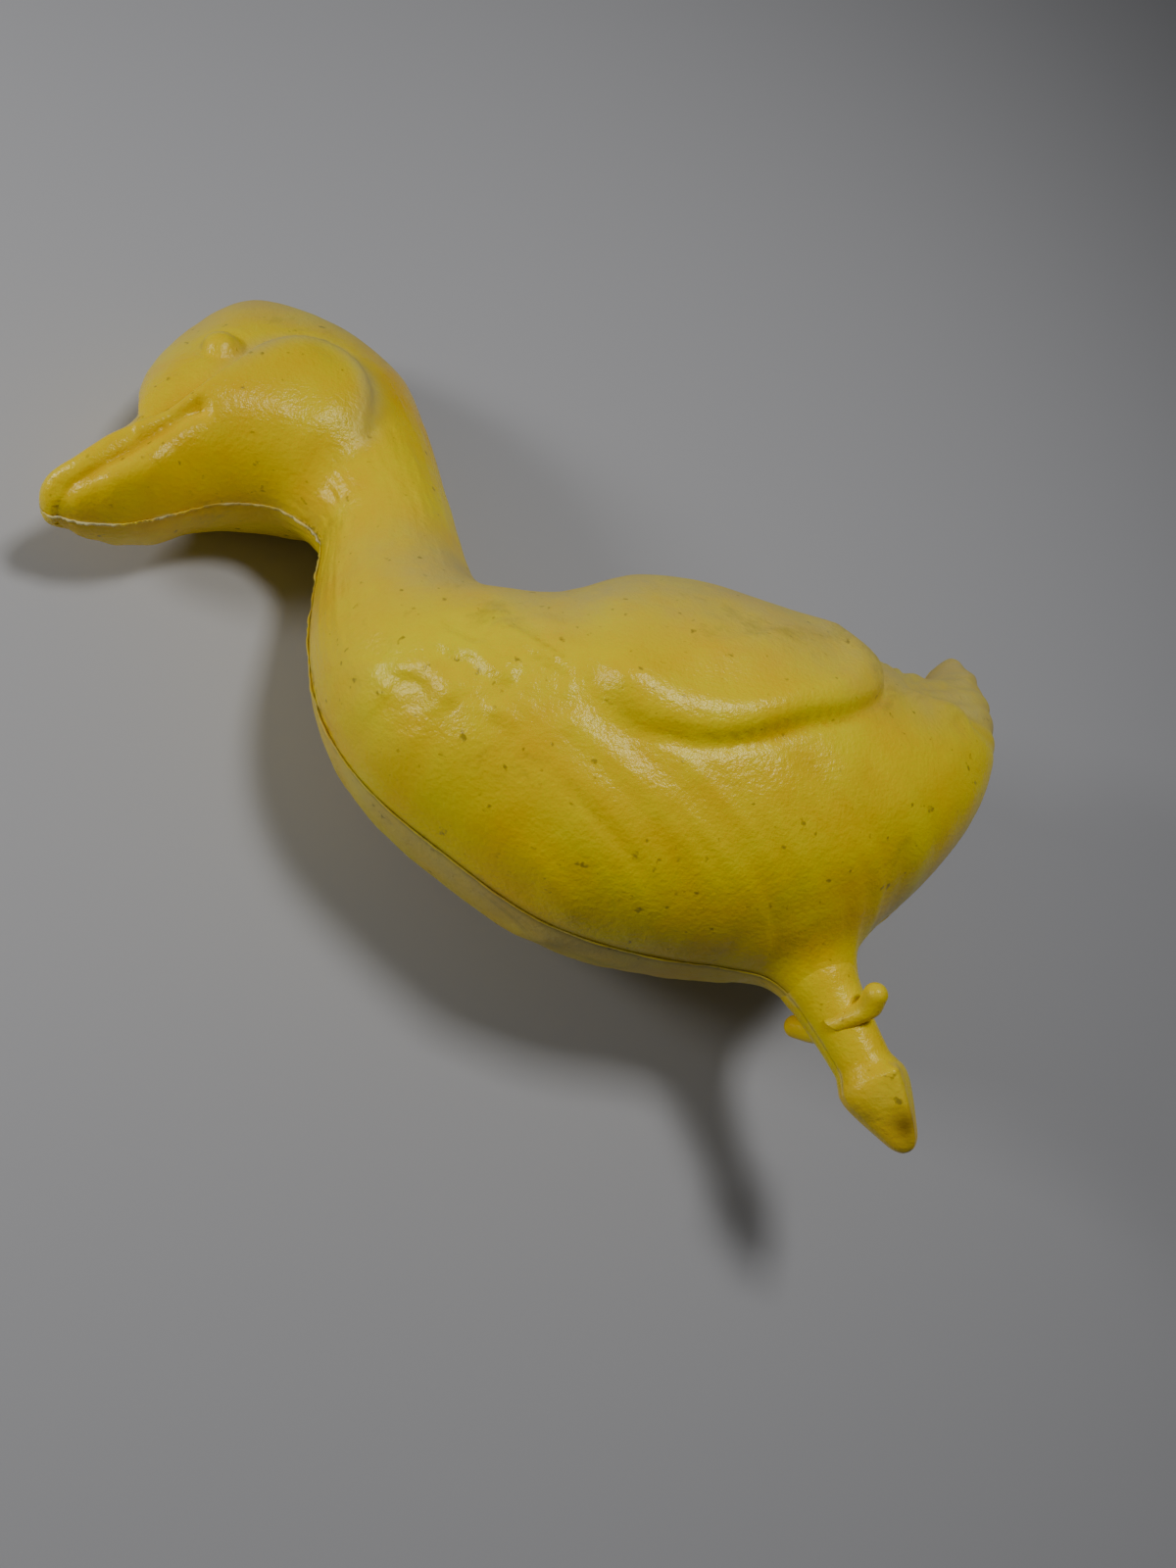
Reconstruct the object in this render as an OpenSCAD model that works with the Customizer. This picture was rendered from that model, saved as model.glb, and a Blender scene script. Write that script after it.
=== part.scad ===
// Hollow soft-rubber duck prop with a squeaker, lying on its right side.
// The duck is drawn flat first: X runs from bill to tail, Y from belly to back,
// and Z stands up from the middle plane towards the duck's left side.
// lay() then rolls it into the pose in which it rests, with its lowest point at z = 0.

/* [Duck] */
// Length from the tip of the bill to the tail
duck_length = 205; // [165:5:245]
// Thickness of the rubber skin
skin_wall = 2.4; // [2:0.1:3]
// How far the folded wing stands out of the flank
wing_rise = 2; // [0:0.5:3]
// How far the soft rubber is pressed flat where the duck rests
rest_flat = 0.6; // [0.3:0.1:1]

/* [Neck joint] */
// Radius of the ball on the body, inside the neck
neck_ball_r = 12; // [11:0.25:12]

/* [Leg] */
// Radius of the ball at the root of the leg
leg_ball_r = 8; // [7:0.25:8.5]
// Gap between the leg's ball and the hole in the skin
leg_gap = 0.3; // [0.2:0.05:0.5]
// Radius of each hind toe at its tip
toe_r = 2.3; // [1.8:0.1:2.6]

/* [Squeaker] */
// Outer diameter of the squeaker's neck, and of its hole in the skin
vent_d = 10; // [8:0.5:12]
// Bore of the squeaker
squeak_bore_d = 7; // [5:0.25:8]
// Length of the squeaker's barrel
squeak_length = 14; // [12:0.5:18]
// Thickness of the vibrating reed
reed_t = 0.3; // [0.2:0.05:0.5]

/* [Smoothness] */
// Steps between two stations of the body
steps = 3; // [2:1:4]
// Steps around each half of a section
around = 16; // [12:1:20]

/* [Hidden] */

yellow = "gold";
plug_white = "whitesmoke";
size = duck_length / 205;      // every station below is drawn for a 205 mm duck
$fn = 64;

// Where the flat duck rolls to when it is laid on its right side
roll_about_x = -9.6;
roll_about_y = -5.8;
lift = 38.82;
shift_x = 18.09;
shift_y = -17.47;

// A station is [back x, back y, belly x, belly y, half width, roundness, fullness].
// Roundness 2 is an ellipse, and more is squarer. Fullness moves the widest place
// towards the belly (+) or the back (-). Stations run from the tail to the neck.
body_stations = [
    [83.8, 46, 82.6, 30, 4, 2, 0.1],
    [81.6, 46.6, 80.5, 19, 9.5, 2.1, 0.15],
    [77, 43, 77, 8, 16.5, 2.1, 0.15],
    [67.5, 34.5, 69, -8.5, 24, 2.2, 0.08],
    [50, 33, 52.5, -25.5, 30.5, 2.2, 0.06],
    [31, 36.5, 33, -36.5, 34.5, 2.2, 0.02],
    [12, 40, 9, -40, 36.5, 2.3, -0.02],
    [-7, 38, -18, -36, 35, 2.4, -0.05],
    [-21, 32, -40, -23.5, 31.5, 2.3, 0],
    [-30, 32, -55, -12, 27, 2.2, 0],
    [-34, 32.5, -64, 1, 23, 2.1, 0],
    [-36, 34, -67.5, 15, 19.5, 2, 0],
    [-36.9, 35.8, -67.2, 30.5, 15.8, 2, 0]];

// The neck's joint: its centre, the way the neck points, and the way across it
neck_at = [-54, 44];
neck_up = [-0.17, 0.985];
neck_across = [0.985, 0.17];
ball_low = 7.8;     // the ball begins this far below its centre
ball_high = 9;      // and is cut off this far above it

// Stations of the neck, head and bill, from the skirt to the tip of the bill
head_stations = [
    [-39.1, 43.5, -68, 38.5, 15, 2, 0],
    [-39.7, 46.7, -68.4, 41.3, 15, 2, 0],
    [-42, 54, -69.5, 44.2, 15, 2, 0],
    [-45.5, 64, -71, 46, 15, 2, 0],
    [-50, 77, -74, 48, 15.5, 2, 0],
    [-58, 92, -80, 50.5, 17, 2, 0.06],
    [-73, 104, -88, 48.7, 18, 2, 0.08],
    [-91, 107, -95, 44.7, 17.5, 2, 0.12],
    [-103, 94.5, -99, 42, 16, 2, 0.15],
    [-108.3, 80, -101.5, 40.3, 14.8, 2, 0.14],
    [-108, 62.5, -106.5, 37.6, 12.5, 2, 0.06],
    [-112.3, 54.6, -110.6, 36.2, 11, 2.1, 0.05],
    [-116, 48.5, -115, 35.6, 9, 2.2, 0.05],
    [-119.5, 45, -118.3, 36, 6.4, 2, 0],
    [-121.6, 42, -120.8, 37.6, 3.4, 2, 0]];

// The folded wing: an oval on the flank
wing_at = [12, 10];
wing_half = [33, 21];
wing_turn = 18;

// The leg's root, the way it points, and its stations
// [distance from the root, half thickness fore and aft, half thickness sideways]
leg_at = [35.4, -38];
leg_way = [0.434, -0.901];
leg_back = [0.901, 0.434];
leg_stations = [
    [6.5, 6.8, 7.2], [10, 6.4, 6.8], [14, 5.9, 6.4], [18, 5.6, 6.1], [20.2, 5.6, 6], [22, 6.4, 6.3],
    [23.6, 7.2, 6.8], [25.8, 7.1, 6.4], [29, 5.9, 5.5], [32.5, 4.3, 4.3], [35.5, 2.9, 2.9], [37, 1.5, 1.5]];

// Each hind toe runs from its root in the shank to the middle of its rounded tip
left_toe = [[36.2, -48.8, 3], [41.6, -46.1, 11.5]];
right_toe = [[39.8, -49, -2.5], [37.2, -45.4, -12]];

// The squeaker's place on the right flank and the way it faces
vent_at = [12, -21, -32.8];
vent_lean = 21;

// ---------- curves ----------

// Catmull-Rom curve through b and c at s from 0 to 1
function blend4(a, b, c, d, s) =
    0.5 * (2 * b + (c - a) * s + (2 * a - 5 * b + 4 * c - d) * s * s
    + (3 * b - a - 3 * c + d) * s * s * s);

// A row n of a list, continued in a straight line past either end
function row_at(list, n) =
    n < 0 ? 2 * list[0] - list[1] :
    n > len(list) - 1 ? 2 * list[len(list) - 1] - list[len(list) - 2] : list[n];

// The list made smooth, with the given number of steps between its rows
function smooth(list, n) = [
    for (i = [0 : len(list) - 2], j = [0 : n - 1])
        blend4(row_at(list, i - 1), list[i], list[i + 1], row_at(list, i + 2), j / n),
    list[len(list) - 1]];

function clamp01(v) = min(1, max(0, v));
function ease(v) = clamp01(v) * clamp01(v) * (3 - 2 * clamp01(v));

// ---------- sections ----------

// How much the wing adds to the half width at a point of the flank
function wing_bulge(p) =
    let (d = p - wing_at,
         u = (d[0] * cos(wing_turn) + d[1] * sin(wing_turn)) / wing_half[0],
         v = (d[1] * cos(wing_turn) - d[0] * sin(wing_turn)) / wing_half[1])
    wing_rise * ease((1 - u * u - v * v) * 2.5);

// One point of a half section: t runs from 0 at the back to 180 at the belly
function half_point(back, belly, w, e, k, t, wing) =
    let (q = (1 - cos(t)) / 2 + k * pow(sin(t), 2),
         p = back + (belly - back) * q)
    [p[0], p[1], pow(sin(t), 2 / e) * (w + (wing ? wing_bulge(p) : 0))];

// A closed loop of one station: round the outside, then back along the inner wall.
// Where the station is solid, hollow is 0 and the inner wall lies on the middle plane.
function half_loop(st, wall, hollow, wing) =
    let (back = [st[0], st[1]], belly = [st[2], st[3]],
         depth = norm(belly - back),
         inset = min(wall, 0.3 * depth),
         way = (belly - back) / depth,
         back_in = back + way * inset, belly_in = belly - way * inset,
         w_in = max(0, st[4] - wall) * hollow)
    [for (i = [0 : around])
        half_point(back, belly, st[4], st[5], st[6], 180 * i / around, wing) * size,
     for (i = [around : -1 : 0])
        half_point(back_in, belly_in, w_in, st[5], st[6], 180 * i / around, false) * size];

// A closed solid through a row of loops that all have the same number of points
module loft(loops) {
    n = len(loops[0]);
    rows = len(loops);
    sides = [for (r = [0 : rows - 2], i = [0 : n - 1], h = [0, 1])
        let (a = r * n + i, b = r * n + (i + 1) % n, c = a + n, d = b + n)
        h == 0 ? [a, b, d] : [a, d, c]];
    half = n / 2;
    ends = [for (i = [0 : half - 2], h = [0, 1])
        let (a = i, b = i + 1, c = n - 1 - i, d = n - 2 - i)
        h == 0 ? [a, c, d] : [a, d, b]];
    far = (rows - 1) * n;
    far_ends = [for (f = ends) [far + f[0], far + f[2], far + f[1]]];
    polyhedron(points = [for (l = loops) each l], faces = concat(sides, ends, far_ends));
}

// ---------- body ----------

// Stations of the ball that the neck turns on, as circles about the neck's line
ball_steps = 8;
ball_from = -asin(ball_low / neck_ball_r);
ball_to = asin(ball_high / neck_ball_r);
ball_stations = [for (i = [0 : ball_steps])
    let (a = ball_from + (ball_to - ball_from) * i / ball_steps,
         r = neck_ball_r * cos(a), c = neck_at + neck_up * neck_ball_r * sin(a),
         back = c + neck_across * r, belly = c - neck_across * r)
    [back[0], back[1], belly[0], belly[1], r, 2, 0]];

module body_half() {
    rows = smooth(body_stations, steps);
    body_loops = [for (i = [0 : len(rows) - 1])
        half_loop(rows[i], skin_wall, ease(i / steps - 0.8), true)];
    ball_loops = [for (st = ball_stations) half_loop(st, skin_wall - 0.2, 1, false)];
    loft(concat(body_loops, ball_loops));
}

module leg_hole() {
    angle = atan2(leg_way[1], leg_way[0]);
    translate([leg_at[0], leg_at[1], 0] * size) rotate([0, 0, angle])
        rotate([0, 90, 0])
            cylinder(h = 24 * size, r = (leg_ball_r + leg_gap) * size, center = true);
}

// Stands its children on the flank at the vent, with +Z pointing outwards
module at_vent() {
    translate(vent_at * size) rotate([180 - vent_lean, 0, 0]) children();
}

module vent_hole() {
    at_vent() translate([0, 0, -7]) cylinder(h = 14, d = vent_d);
}

// ---------- placing ----------

module lay() {
    translate([shift_x * size, shift_y * size, lift * size - rest_flat])
        rotate([roll_about_x, roll_about_y, 0]) children();
}

// Presses its children flat where they reach below the floor
module pressed() {
    difference() {
        children();
        translate([-duck_length, -duck_length, -duck_length])
            cube([2 * duck_length, 2 * duck_length, duck_length]);
    }
}

module right_side() {
    mirror([0, 0, 1]) children();
}

module body_skin_left() {
    color(yellow) lay() difference() { body_half(); leg_hole(); }
}

module body_skin_right() {
    color(yellow) pressed() lay() difference() {
        right_side() body_half();
        leg_hole();
        vent_hole();
    }
}

// ---------- neck, head and bill ----------

bill_starts = 9.4;   // the station at which the hollow ends and the bill is solid

module head_half() {
    rows = smooth(head_stations, steps);
    loft([for (i = [0 : len(rows) - 1])
        half_loop(rows[i], skin_wall - 0.2, ease((bill_starts - i / steps) * 0.7), false)]);
}

module head_skin_left() {
    color(yellow) lay() head_half();
}

module head_skin_right() {
    color(yellow) pressed() lay() right_side() head_half();
}

// ---------- leg ----------

// A closed half section of the solid leg, about the leg's own line
function leg_loop(s, a, b) =
    let (c = leg_at + leg_way * s)
    [for (i = [0 : around])
        let (t = 180 * i / around, p = c - leg_back * a * cos(t))
        [p[0], p[1], b * sin(t)] * size,
     for (i = [around : -1 : 0])
        let (p = c - leg_back * a * (1 - 2 * i / around) * 0.9)
        [p[0], p[1], 0] * size];

module leg_half() {
    knuckle = [for (i = [0 : 7])
        let (a = -78 + 124 * i / 7)
        [leg_ball_r * sin(a), leg_ball_r * cos(a), leg_ball_r * cos(a)]];
    rows = concat(knuckle, smooth(leg_stations, steps));
    loft([for (r = rows) leg_loop(r[0], r[1], r[2])]);
}

// A tapered finger of rubber with a rounded tip
module toe(ends) {
    way = ends[1] - ends[0];
    turn = atan2(way[1], way[0]);
    lean = acos(way[2] / norm(way));
    translate(ends[0] * size) rotate([0, lean, turn]) scale(size) {
        cylinder(h = norm(way), r1 = toe_r * 1.06, r2 = toe_r);
        translate([0, 0, norm(way)]) sphere(r = toe_r);
    }
}

module leg_left() {
    color(yellow) lay() union() { leg_half(); toe(left_toe); }
}

module leg_right() {
    color(yellow) lay() union() { right_side() leg_half(); toe(right_toe); }
}

// ---------- squeaker ----------

flange_d = vent_d + 3;
flange_t = 1.5;
flange_down = 6.2;       // the flange's outer face, below the skin's outer face
barrel_d = squeak_bore_d + 3;
grille_t = 1.2;
face_down = 0.6;         // the squeaker's face, below the skin's outer face
block_top = 3;           // the reed block begins this far below the face
block_length = 9;
groove_w = 3;
groove_depth = 2;
reed_length = 7.4;
reed_w = 2.6;
reed_slack = 0.1;        // gap between the reed and what it lies on
wedge_length = 2.6;
bore_r = squeak_bore_d / 2;

module squeaker_barrel() {
    color(plug_white) lay() at_vent() rotate_extrude() polygon([
        [bore_r, -face_down], [vent_d / 2, -face_down],
        [vent_d / 2, -flange_down], [flange_d / 2, -flange_down],
        [flange_d / 2, -flange_down - flange_t], [barrel_d / 2, -flange_down - flange_t],
        [barrel_d / 2, -squeak_length], [bore_r, -squeak_length]]);
}

module squeaker_grille() {
    hole_d = 1.3;
    color(plug_white) lay() at_vent() difference() {
        translate([0, 0, -face_down - grille_t]) cylinder(h = grille_t, r = bore_r);
        translate([0, 0, -face_down - grille_t - 1]) {
            cylinder(h = grille_t + 2, d = hole_d);
            for (a = [0 : 60 : 300]) rotate([0, 0, a]) translate([2.1, 0, 0])
                cylinder(h = grille_t + 2, d = hole_d);
        }
    }
}

// The half-round block: a groove along its flat face carries the air under the reed
module reed_block() {
    color(plug_white) lay() at_vent() translate([0, 0, -block_top - block_length])
        difference() {
            cylinder(h = block_length, r = bore_r);
            translate([-bore_r - 1, 0, -1]) cube([2 * bore_r + 2, bore_r + 1, block_length + 2]);
            translate([-groove_w / 2 + 0.4, -groove_depth, -1])
                cube([groove_w - 0.8, groove_depth + 1, block_length - 1]);
        }
}

// The wedge that holds the reed's root down on the block
module reed_wedge() {
    gap = reed_t + 2 * reed_slack;
    color(plug_white) lay() at_vent() translate([0, 0, -block_top - wedge_length])
        difference() {
            cylinder(h = wedge_length, r = bore_r);
            translate([-bore_r - 1, -bore_r - 1, -1])
                cube([2 * bore_r + 2, bore_r + 1 + gap, wedge_length + 2]);
        }
}

module squeaker_reed() {
    color("silver") lay() at_vent()
        translate([-reed_w / 2, reed_slack, -block_top - 0.8 - reed_length])
            cube([reed_w, reed_t, reed_length]);
}

body_skin_left();
body_skin_right();
head_skin_left();
head_skin_right();
leg_left();
leg_right();
squeaker_barrel();
squeaker_grille();
reed_block();
reed_wedge();
squeaker_reed();
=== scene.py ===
# %% [markdown]
# # A soft-rubber duck
# A hollow duck moulded in yellow rubber as two half skins, bonded edge to edge along a
# parting line that runs over the middle of the animal. The neck and the leg bend, and a small
# reed squeaker sits behind a vent in the right flank. Everything rubber is built here as
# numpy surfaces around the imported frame. The squeaker's hard parts stay the frame's own.

# %% Load the frame
import bpy
import numpy as np
from mathutils import Matrix


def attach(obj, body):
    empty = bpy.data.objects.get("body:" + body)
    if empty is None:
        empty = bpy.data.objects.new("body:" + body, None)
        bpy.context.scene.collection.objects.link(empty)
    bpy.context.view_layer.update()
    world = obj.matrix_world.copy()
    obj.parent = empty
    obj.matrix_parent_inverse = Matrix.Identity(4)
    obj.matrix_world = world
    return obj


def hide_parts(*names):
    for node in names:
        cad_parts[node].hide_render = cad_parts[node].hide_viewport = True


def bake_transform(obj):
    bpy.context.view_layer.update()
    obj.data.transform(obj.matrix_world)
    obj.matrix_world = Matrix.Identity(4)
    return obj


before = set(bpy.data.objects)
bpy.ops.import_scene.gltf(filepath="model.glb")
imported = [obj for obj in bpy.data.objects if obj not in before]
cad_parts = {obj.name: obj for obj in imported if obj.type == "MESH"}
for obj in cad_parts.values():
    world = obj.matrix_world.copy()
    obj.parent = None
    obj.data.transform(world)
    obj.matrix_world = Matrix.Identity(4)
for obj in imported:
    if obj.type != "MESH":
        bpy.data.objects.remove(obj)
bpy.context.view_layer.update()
MM = 0.001

# %% [markdown]
# The duck is easiest to shape lying flat: X from bill to tail, Y from belly to back, and Z out
# of its left side. One turn and one shift then lay it on its right side, as the frame has it.

# %% Flat duck to the frame's own axes
ROLL_ABOUT_X, ROLL_ABOUT_Y = np.radians(-9.6), np.radians(-5.8)
SHIFT = np.array([18.09, -17.47, 38.22])
turn_x = np.array([[1, 0, 0],
                   [0, np.cos(ROLL_ABOUT_X), -np.sin(ROLL_ABOUT_X)],
                   [0, np.sin(ROLL_ABOUT_X), np.cos(ROLL_ABOUT_X)]])
turn_y = np.array([[np.cos(ROLL_ABOUT_Y), 0, np.sin(ROLL_ABOUT_Y)],
                   [0, 1, 0],
                   [-np.sin(ROLL_ABOUT_Y), 0, np.cos(ROLL_ABOUT_Y)]])
LAY = turn_y @ turn_x


def lay_down(points):
    """Flat duck in millimetres to the frame in metres: turn about X, then Y, then shift."""
    return (np.asarray(points, float) @ LAY.T + SHIFT) * MM


print("the flat duck's left side now faces", np.round(LAY[:, 2], 2).tolist())

# %% [markdown]
# The camera comes first. It looks down on the left side, from a little below the belly, so the
# left side's normal leans up and to the right in the picture and the belly's parting line shows.

# %% Camera
SIDE_NORMAL_SEEN = np.array([0.31, 0.49, 0.815])   # the left side's normal, as the camera has it
FOCUS = 1180 / 1600 * 36                           # lens in mm on a 36 mm tall frame
CAMERA_DISTANCE = 236.0                            # camera to the middle plane, in mm
AIM = np.array([10.0, 2.0])                        # where the flat duck's origin lies in the view

side_axis = SIDE_NORMAL_SEEN / np.linalg.norm(SIDE_NORMAL_SEEN)
long_axis = np.array([1.0, 0, 0]) - side_axis * side_axis[0]
long_axis /= np.linalg.norm(long_axis)
back_axis = np.cross(side_axis, long_axis)
seen = np.array([long_axis, back_axis, side_axis])  # rows: flat X, Y, Z in camera axes
origin_seen = np.array([AIM[0], AIM[1], -CAMERA_DISTANCE])
camera_flat = -seen @ origin_seen
camera_axes = LAY @ seen                            # columns: camera right, up, back

camera = bpy.data.objects.new("camera", bpy.data.cameras.new("camera"))
bpy.context.collection.objects.link(camera)
camera.data.lens = FOCUS
camera.data.clip_start = 0.01
pose = np.eye(4)
pose[:3, :3] = camera_axes
pose[:3, 3] = lay_down(camera_flat)
camera.matrix_world = Matrix(pose.tolist())
bpy.context.scene.camera = camera
print("camera stands at", np.round(pose[:3, 3], 3), "m, looking", np.round(-camera_axes[:, 2], 2))

# %% [markdown]
# ## Tools for curves and relief
# The duck's outline is two rails in the middle plane, one along the back and one along the
# belly. A section joins each pair of rail points, as a squarish ellipse. Catmull-Rom curves
# run exactly through the stations, so a station can be read as a real place on the duck.

# %% Curves
def ease(v):
    """Smooth step from 0 to 1: 3v^2 - 2v^3, held flat outside."""
    v = np.clip(v, 0, 1)
    return v * v * (3 - 2 * v)


def catmull_rom(rows, t):
    """Points of the smooth curve through rows at parameters t, where row n is at t = n. Each
    span is a cubic whose slope at a row is half the step between the row's neighbours."""
    rows = np.asarray(rows, float)
    padded = np.vstack([2 * rows[0] - rows[1], rows, 2 * rows[-1] - rows[-2]])
    n = np.clip(np.floor(t).astype(int), 0, len(rows) - 2)
    s = (np.asarray(t) - n)[:, None]
    a, b, c, d = (padded[n + k] for k in range(4))
    return 0.5 * (2 * b + (c - a) * s + (2 * a - 5 * b + 4 * c - d) * s ** 2
                  + (3 * b - a - 3 * c + d) * s ** 3)


def round_curve(values, angle):
    """A closed smooth curve of one value: the values are evenly spaced round a full turn, and
    the same cubic as above runs through them."""
    values = np.asarray(values, float)
    n = len(values)
    t = np.mod(angle / (2 * np.pi) * n, n)
    k = np.floor(t).astype(int)
    s = t - k
    a, b, c, d = (values[(k + j - 1) % n] for j in range(4))
    return 0.5 * (2 * b + (c - a) * s + (2 * a - 5 * b + 4 * c - d) * s ** 2
                  + (3 * b - a - 3 * c + d) * s ** 3)


def noise(x, y, seed):
    """Smooth value noise from -1 to 1: random values on a unit lattice, eased between."""
    table = np.random.default_rng(seed).uniform(-1, 1, (64, 64))
    i, j = np.floor(x).astype(int), np.floor(y).astype(int)
    u, v = ease(x - i), ease(y - j)
    at = lambda di, dj: table[(i + di) % 64, (j + dj) % 64]
    low = at(0, 0) * (1 - u) + at(1, 0) * u
    high = at(0, 1) * (1 - u) + at(1, 1) * u
    return low * (1 - v) + high * v


def line_field(x, y, points, per=10):
    """Signed distance to the smooth line through points (+ on its left), and how far along
    it the nearest place is, from 0 to 1."""
    line = catmull_rom(points, np.linspace(0, len(points) - 1, (len(points) - 1) * per + 1))
    start, step = line[:-1], np.diff(line, axis=0)
    best = np.full(x.shape, 1e9)
    side = np.zeros(x.shape)
    along = np.zeros(x.shape)
    for k, (p, d) in enumerate(zip(start, step)):
        s = np.clip(((x - p[0]) * d[0] + (y - p[1]) * d[1]) / (d @ d), 0, 1)
        ox, oy = x - p[0] - s * d[0], y - p[1] - s * d[1]
        far = np.hypot(ox, oy)
        near = far < best
        best = np.where(near, far, best)
        side = np.where(near, np.sign(d[0] * oy - d[1] * ox), side)
        along = np.where(near, (k + s) / len(start), along)
    return best * side, along


print("curve at half way:", catmull_rom([[0.0], [1.0], [4.0]], np.array([0.5])).round(3).tolist())

# %% [markdown]
# ## The duck's stations
# Each row is back x, back y, belly x, belly y, half width, roundness and fullness, from the
# end of the rump, over the body and up the neck, to the tip of the bill.

# %% Stations of the skin
STATIONS = np.array([
    [84.0, 42.6, 83.6, 37.0, 0.8, 2.0, 0.0],
    [83.3, 45.6, 82.5, 30.0, 4.0, 2.0, 0.1],
    [81.4, 47.6, 80.5, 19.0, 9.5, 2.1, 0.15],
    [77.0, 44.2, 77.0, 8.0, 16.5, 2.1, 0.15],
    [67.5, 34.5, 69.0, -8.5, 24.0, 2.2, 0.08],
    [50, 33.0, 52.5, -25.5, 30.5, 2.2, 0.06],
    [31, 36.5, 33, -36.5, 34.5, 2.2, 0.02],
    [12, 40.0, 9, -40, 36.5, 2.3, -0.02],
    [-7, 38, -18, -36, 35, 2.4, -0.05],
    [-21, 31.2, -40, -23.5, 31.5, 2.3, 0],
    [-30, 30.6, -55, -12, 27, 2.2, 0],
    [-34, 31.5, -64, 1, 23, 2.1, 0],
    [-36, 35, -67.8, 15, 19.5, 2, 0],
    [-37.6, 40, -68.6, 29, 16.2, 2, 0],
    [-39.8, 47, -68.4, 40.5, 15, 2, 0],
    [-42, 54.2, -69.5, 44.2, 15, 2, 0],
    [-45.3, 64.3, -71, 46, 15, 2, 0],
    [-49.4, 77.5, -74, 48, 15.5, 2, 0],
    [-56.6, 93.4, -80, 50.5, 17, 2, 0.06],
    [-72.5, 104.6, -88, 48.7, 18, 2, 0.08],
    [-91, 107, -95, 44.7, 17.5, 2, 0.12],
    [-102.6, 94.0, -99, 42, 16, 2, 0.15],
    [-108.3, 80, -101.5, 40.3, 14.8, 2, 0.14],
    [-109.6, 70, -103.7, 39, 13.7, 2, 0.1],
    [-108.0, 62.5, -106.5, 37.6, 12.5, 2, 0.06],
    [-112.3, 54.6, -110.6, 36.2, 11.0, 2.1, 0.05],
    [-116, 48.5, -115, 35.6, 9.0, 2.2, 0.05],
    [-119.5, 45.0, -118.3, 36.0, 6.4, 2, 0],
    [-121.6, 42.0, -120.8, 37.6, 3.4, 2, 0],
    [-122.2, 40.4, -122.0, 39.6, 0.6, 2, 0]])
LEG_AT, LEG_WAY = np.array([35.4, -38.0]), np.array([0.434, -0.901])
LEG_BACK = np.array([0.901, 0.434])
VENT_AT, VENT_LEAN = np.array([12.0, -21.0, -32.8]), np.radians(21)
print(len(STATIONS), "stations, body about", STATIONS[7][1] - STATIONS[7][3], "mm deep")

# %% [markdown]
# ## Relief of the mould
# The wings, eyes, cheeks, bill ridges and feathers are cut into the mould, so they are one
# skin with the body. Each is a height over the plain surface, worked out from a place on the
# side view, and all the heights are added before the points move out along their normals.

# %% Relief of the folded wing
WING_AT = np.array([10.0, 10.0])
WING_RADII = [30, 31, 29, 28, 28.5, 31, 33.5, 34, 26.5, 20.5, 18.5, 22.5]   # every 30 degrees
WING_SOFTNESS = [0.1, 0.17, 0.6, 1.0, 1.1, 1.0, 0.6, 0.16, 0.1, 0.09, 0.08, 0.08]
WING_GROOVE = [0.8, 0.8, 0.8, 0.8, 0.6, 0.3, 0.1, 0.1, 0.4, 0.8, 0.9, 0.9]
WING_RISE = 2.4


def wing_relief(x, y):
    """A pad inside a rounded outline: flat-topped, with a crisp lower edge and a soft top
    edge, a rolled rim along the lower edge, and a groove in the skin just outside it."""
    dx, dy = x - WING_AT[0], y - WING_AT[1]
    angle = np.arctan2(dy, dx)
    reach = np.hypot(dx, dy) / round_curve(WING_RADII, angle)
    softness = round_curve(WING_SOFTNESS, angle)
    crisp = np.clip(0.16 / softness, 0, 1)
    pad = WING_RISE * ease((1.02 - reach) / softness) * (0.45 + 0.55 * crisp)
    rim = 1.3 * np.exp(-((reach - 0.76) / 0.15) ** 2) * crisp
    groove = -round_curve(WING_GROOVE, angle) * np.exp(-((reach - 1.04) / 0.035) ** 2) * crisp
    shoulder = 1.1 * np.exp(-((x + 17.5) / 7) ** 2 - ((y + 2.5 + 0.45 * (x + 17.5)) / 4) ** 2)
    return pad + rim + groove + shoulder


print("wing stands", wing_relief(*WING_AT[:, None]).round(2).tolist(), "mm proud")

# %% [markdown]
# On the head the skull overhangs the cheek along a long crease, and the eye is a plain dome with
# no pupil. The bill has a ridge down its top edge, a groove that starts in the nostril's pit, and
# a second, softer ridge below. Lines drawn as short lists of places carry all of them.

# %% Relief of the head
EYE_AT, EYE_R = np.array([-94.9, 75.4]), 3.2
CREASE = [[-112, 50], [-105.2, 52.6], [-98.9, 59.2], [-92.4, 68.6], [-87.4, 76.2],
          [-81, 81.6], [-73.5, 83.6], [-66.8, 80.0], [-63.0, 71.5], [-62.4, 61]]
NOSTRIL_LINE = [[-93.8, 57.6], [-97.5, 54.6], [-104, 48.4], [-109, 43.6], [-113, 40.0],
                [-116.5, 37.6]]
CHEEK_AT = np.array([-83.0, 68.0])
HOLLOW_AT = np.array([-73.0, 78.5])         # the dent behind the cheek
CULMEN_OFF = 3.8                            # from the nostril's groove up to the ridge, in mm
FLANK_RIDGE = [[-95, 47.5], [-101, 44.5], [-107, 41.2], [-112, 38.2]]


def bump(x, y, at, wide, high):
    """A round hill of height 1: exp(-(dx / wide)^2 - (dy / high)^2)."""
    return np.exp(-((x - at[0]) / wide) ** 2 - ((y - at[1]) / high) ** 2)


def eye_dome(eye):
    """The eye's height at a distance from its middle, with a shallow ring let in around it."""
    dome = 2.1 * np.clip(1 - (eye / (EYE_R * 1.1)) ** 2, 0, 1) ** 0.55
    return dome - 0.35 * np.exp(-((eye - 4.4) / 1.0) ** 2)


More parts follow.
